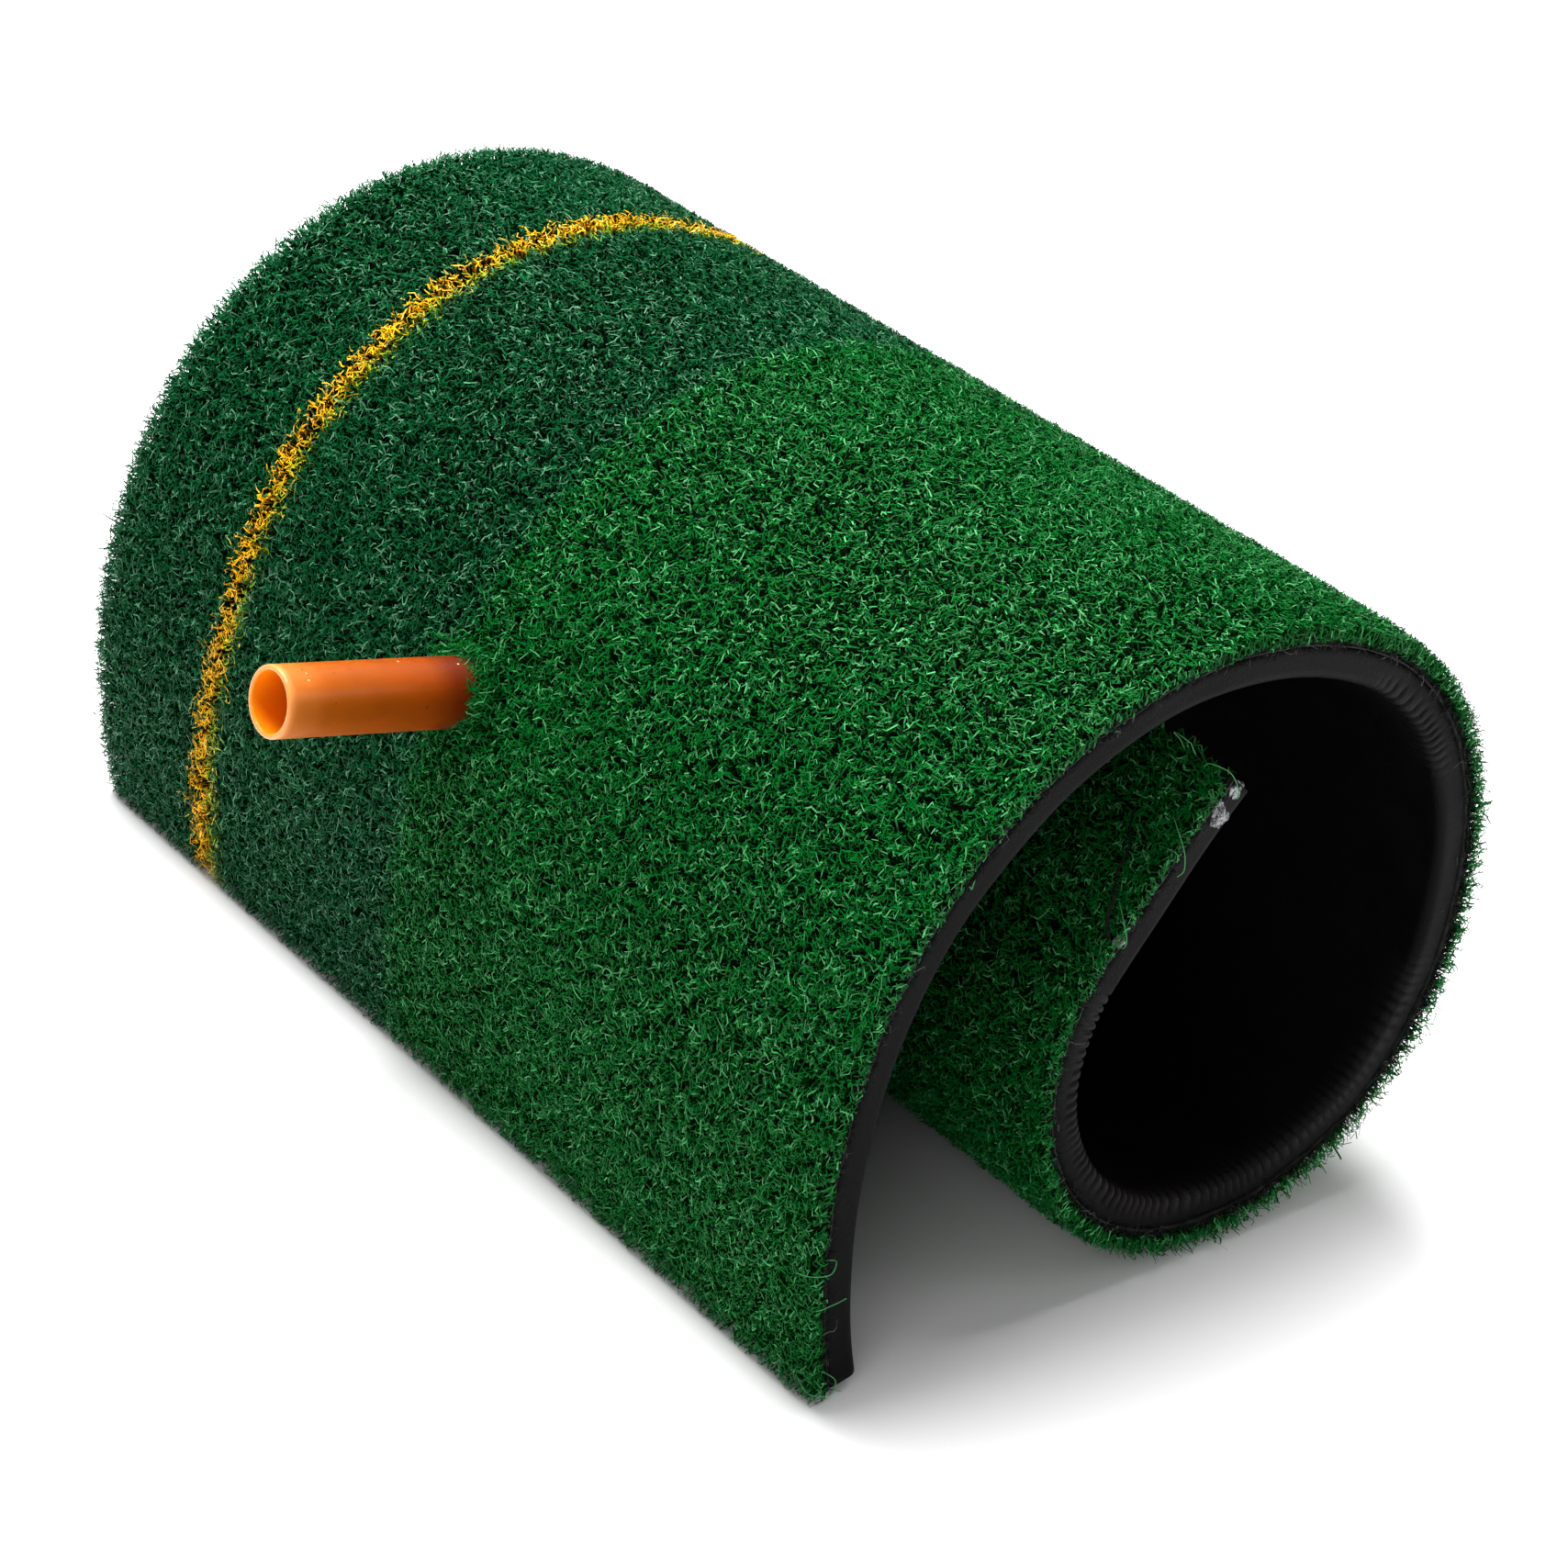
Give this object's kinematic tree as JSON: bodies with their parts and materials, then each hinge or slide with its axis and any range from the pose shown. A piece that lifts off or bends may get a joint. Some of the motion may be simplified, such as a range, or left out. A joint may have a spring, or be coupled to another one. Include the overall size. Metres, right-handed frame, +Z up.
{
  "type": "golf practice mat",
  "caption": "Golf practice mat of artificial turf on black foam, dark and light green with a yellow line, rolled up turf side out, with an orange rubber tee.",
  "frame": {"origin": "middle of the bounding box at floor level", "axes": "+Z up; +Y along the roll's axis, across the mat's width, towards the edge with the yellow line; the tee points towards -X"},
  "size_m": [0.233, 0.3, 0.163],
  "materials": {
    "black_foam": "matt closed-cell foam, cut edge slightly lighter",
    "hot_melt_glue": "thin cloudy film",
    "woven_backing": "black woven tape with latex",
    "light_green_pile": "curled nylon blades, satin",
    "dark_green_pile": "curled nylon blades, satin",
    "yellow_pile": "green blades with yellow tips, satin",
    "orange_rubber": "translucent soft rubber, satin"
  },
  "bodies": {
    "mat": {"foam_base": "black_foam", "glue_film": "hot_melt_glue", "turf_backing": "woven_backing", "pile_light": "light_green_pile", "pile_dark_inner": "dark_green_pile", "pile_yellow_line": "yellow_pile", "pile_dark_outer": "dark_green_pile"},
    "tee": {"tee": "orange_rubber"}
  },
  "joints": [
    {"name": "tee_slide", "type": "slide", "parent": "mat", "child": "tee", "axis": [0.9799, 0, -0.1994], "range_m": [0, 0.03]}
  ]
}
